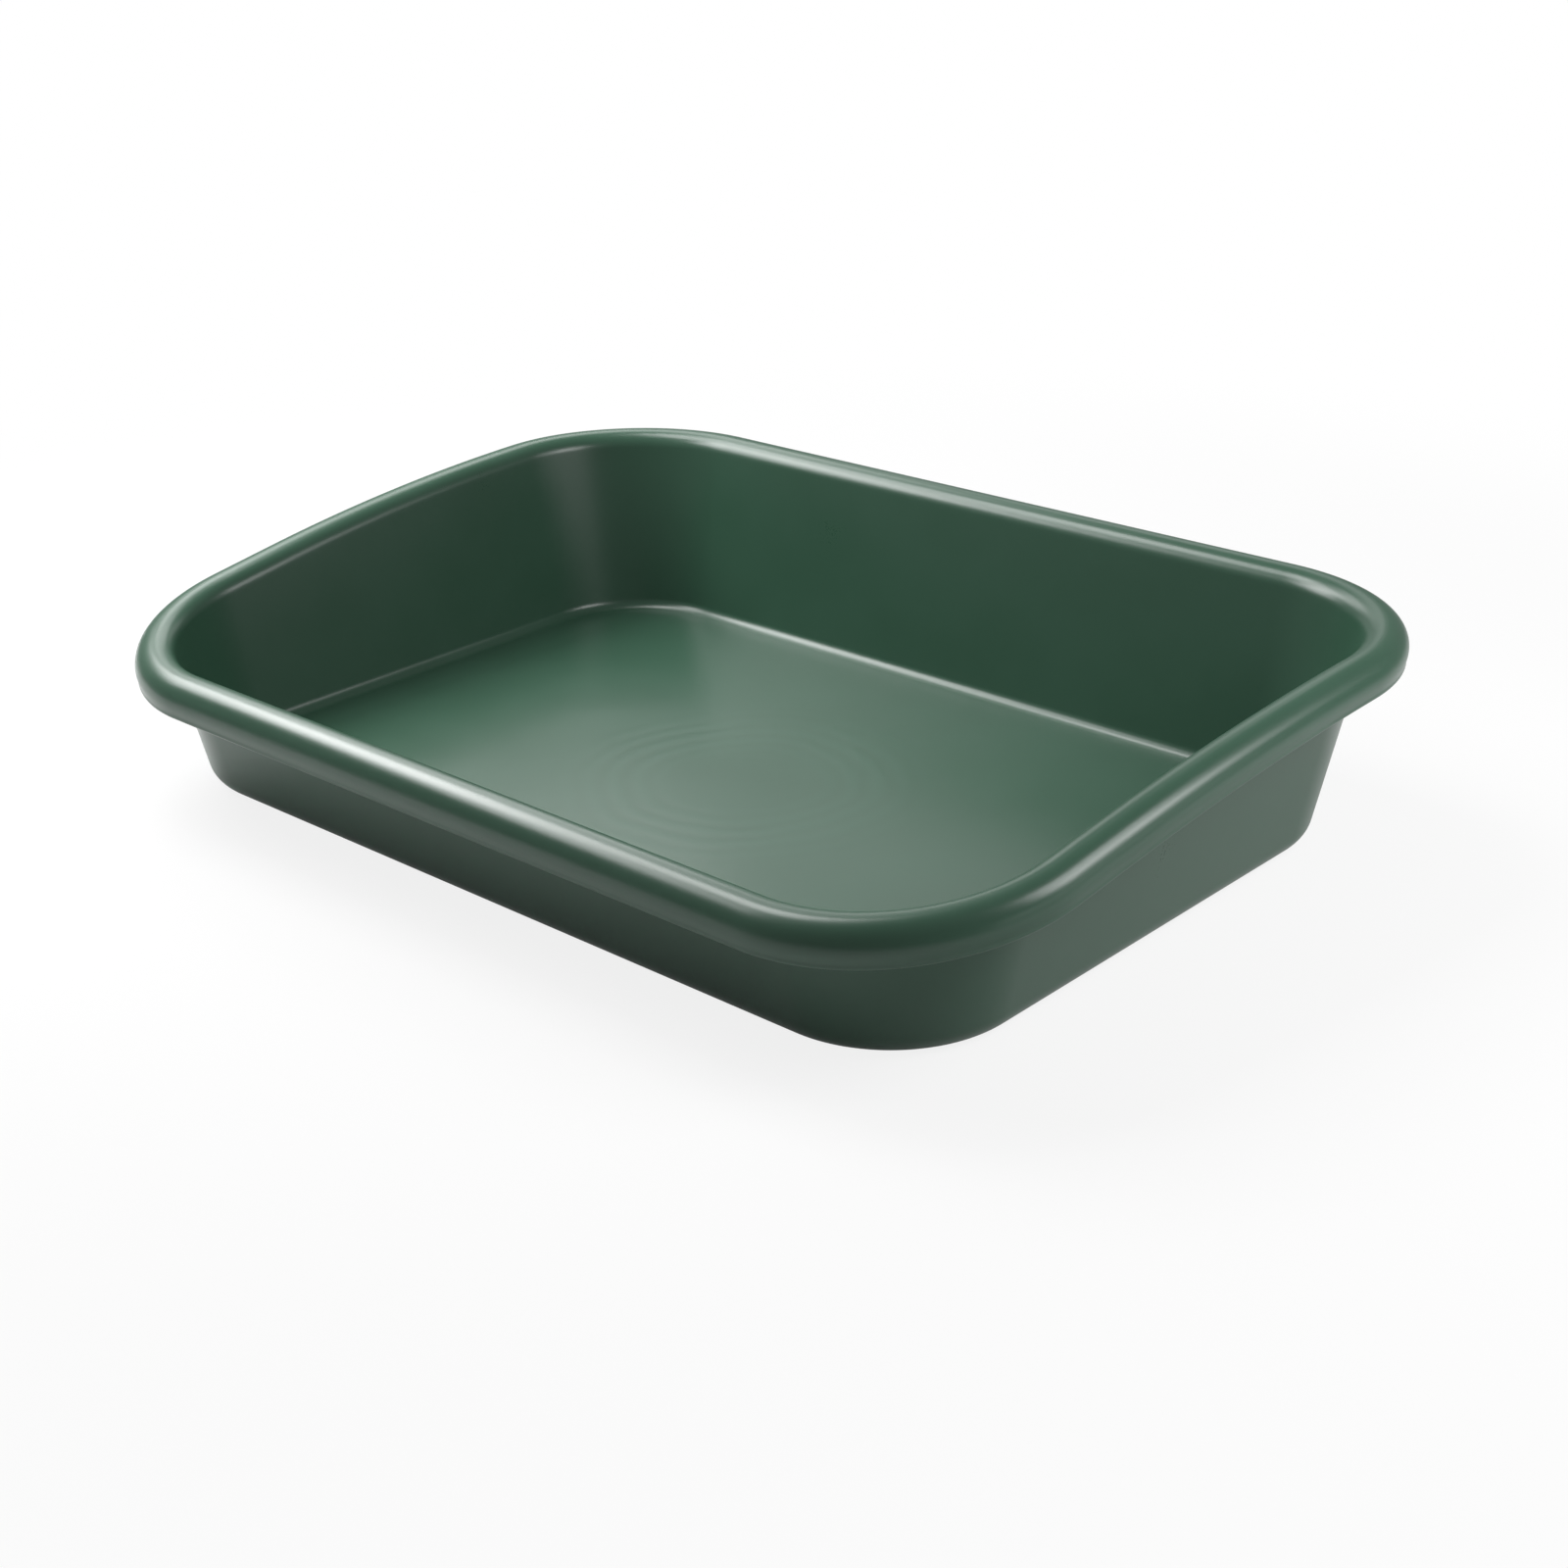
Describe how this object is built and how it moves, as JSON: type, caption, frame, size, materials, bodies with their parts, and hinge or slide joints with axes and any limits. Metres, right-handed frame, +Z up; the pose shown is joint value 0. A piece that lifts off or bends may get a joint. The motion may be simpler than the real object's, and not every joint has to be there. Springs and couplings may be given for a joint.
{
  "type": "potting tray",
  "caption": "Shallow rectangular potting soil tray with rounded corners, leaning walls, a hollow rolled rim, a low front edge and a higher back.",
  "frame": {"origin": "on the bench, under the middle of the tray's plan", "axes": "+X along the long sides, +Y towards the high back side, +Z up"},
  "size_m": [0.5612, 0.3998, 0.1045],
  "materials": {
    "green_plastic": "satin dark green moulded plastic with a soft gloss"
  },
  "bodies": {
    "root": {"potting_tray": "green_plastic"}
  },
  "joints": []
}
